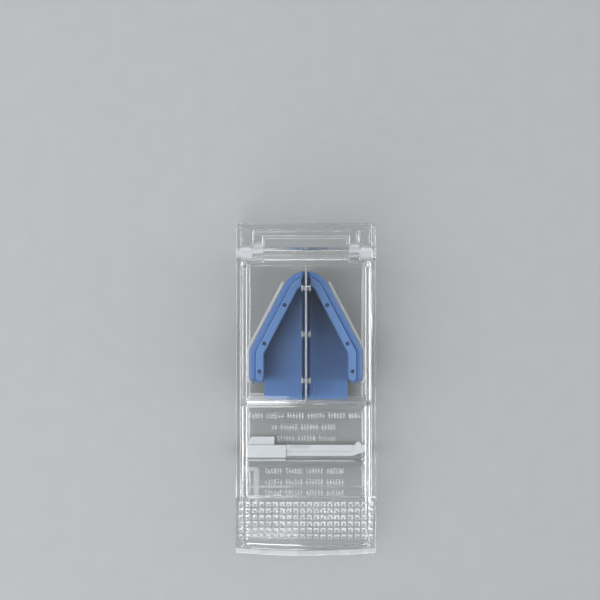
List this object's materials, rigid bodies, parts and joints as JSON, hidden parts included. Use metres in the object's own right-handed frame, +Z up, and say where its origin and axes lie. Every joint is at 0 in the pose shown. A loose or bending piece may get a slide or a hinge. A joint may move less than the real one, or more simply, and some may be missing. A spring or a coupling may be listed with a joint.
{
  "type": "pill splitter",
  "caption": "Clear hinged box that halves a pill: a blade under the cover closes onto a blue V-shaped holder, with two stores for pills and a loose safety lock.",
  "frame": {"origin": "middle of the tray's underside", "axes": "+Z up, +Y back towards the hinge along the length, +X to the right as seen from the thumb grip"},
  "size_m": [0.0374, 0.089, 0.022],
  "materials": {
    "clear_styrene": "polished clear",
    "blue_plastic": "fine matt",
    "soft_blue": "soft matt",
    "dark_blue": "matt",
    "steel": "ground",
    "rivet_plastic": "natural",
    "frosted_white": "translucent, satin"
  },
  "bodies": {
    "tray": {"base_tray": "clear_styrene", "pill_holder": "blue_plastic", "grip_strip_left": "soft_blue", "grip_strip_right": "soft_blue", "strip_pins": "dark_blue"},
    "cover": {"lid_cover": "clear_styrene", "blade": "steel", "blade_rivets": "rivet_plastic", "hinge_rod": "clear_styrene"},
    "lock": {"safety_lock": "frosted_white"}
  },
  "joints": [
    {"name": "cover_hinge", "type": "hinge", "parent": "tray", "child": "cover", "pos_m": [0, 0.0364, 0.0125], "axis": [-1, 0, 0], "range_deg": [0, 105]},
    {"name": "lock_lift", "type": "slide", "parent": "tray", "child": "lock", "axis": [0, 0, 1], "range_m": [0, 0.007]}
  ]
}
